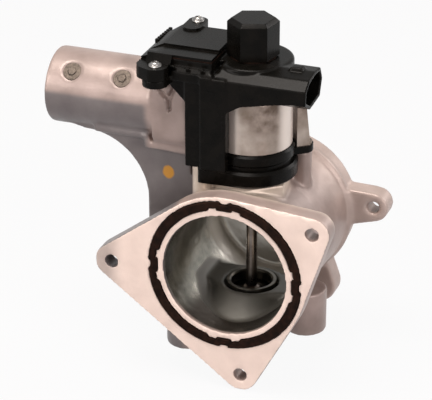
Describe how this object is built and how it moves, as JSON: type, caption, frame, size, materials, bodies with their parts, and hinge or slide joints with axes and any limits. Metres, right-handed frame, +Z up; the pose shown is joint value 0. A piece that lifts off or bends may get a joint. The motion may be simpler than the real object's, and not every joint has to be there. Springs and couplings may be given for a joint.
{
  "type": "egr valve",
  "caption": "Flanged air duct with a side gas pipe and a solenoid-driven poppet valve on top, with a hex-capped position sensor, electronics box and plug socket.",
  "frame": {"origin": "centre of the inlet bore, on the inlet flange's sealing face", "axes": "+Y along the duct from the inlet to the outlet, +Z up the valve stem towards the hex cap, +X away from the gas pipe, towards the plug socket's mouth"},
  "size_m": [0.1601, 0.0884, 0.1781],
  "materials": {
    "black_plastic": "fine moulded texture, satin",
    "black_seal": "matte moulded elastomer",
    "board_green": "solder-masked board",
    "bronze_bush": "bored, satin",
    "can_steel": "plated and drawn, bright satin",
    "cast_aluminium": "fine sand-cast grain, satin; flange faces machined smooth",
    "copper_wire": "enamelled winding, gloss",
    "pin_tin": "tin plate",
    "plug_steel": "plain pressed steel",
    "screw_steel": "bright zinc plate",
    "seat_steel": "turned, smooth",
    "soft_iron": "turned, smooth",
    "spring_steel": "drawn wire",
    "valve_steel": "ground, slightly heat-browned"
  },
  "bodies": {
    "valve_body": {"valve_housing": "cast_aluminium", "inlet_flange_seal": "black_seal", "outlet_flange_seal": "black_seal", "pipe_port_plugs": "plug_steel", "valve_seat_ring": "seat_steel", "chamber_core_plug": "plug_steel", "stem_guide_bush": "bronze_bush", "stem_scraper_seal": "black_seal", "actuator_gasket": "black_seal", "actuator_base": "black_plastic", "ear_sleeves": "seat_steel", "yoke_bracket": "can_steel", "actuator_screws": "screw_steel", "solenoid_can": "can_steel", "pole_piece": "soft_iron", "armature_sleeve": "seat_steel", "coil_bobbin": "black_plastic", "coil_winding": "copper_wire", "return_spring": "spring_steel", "actuator_housing": "black_plastic", "connector_pins": "pin_tin", "sensor_body": "black_plastic", "sensor_spring": "spring_steel", "hex_cap": "black_plastic", "hex_cap_seal": "black_seal", "electronics_cover": "black_plastic", "cover_seal": "black_seal", "cover_screws": "screw_steel", "circuit_board": "board_green"},
    "poppet": {"valve_stem": "valve_steel", "valve_head": "valve_steel", "armature": "soft_iron", "spring_retainer": "soft_iron"},
    "sensor_follower": {"sensor_plunger": "black_plastic"}
  },
  "joints": [
    {"name": "valve_lift", "type": "slide", "parent": "valve_body", "child": "poppet", "axis": [0, 0, -1], "range_m": [0, 0.006], "stiffness_N_per_m": 2000, "springref_m": -0.01, "deforming": ["return_spring"]},
    {"name": "sensor_follow", "type": "slide", "parent": "valve_body", "child": "sensor_follower", "axis": [0, 0, -1], "range_m": [0, 0.006], "stiffness_N_per_m": 100, "springref_m": 0.012, "deforming": ["sensor_spring"]}
  ],
  "couplings": [
    {"joint": "sensor_follow", "follows": "valve_lift", "ratio": 1}
  ]
}
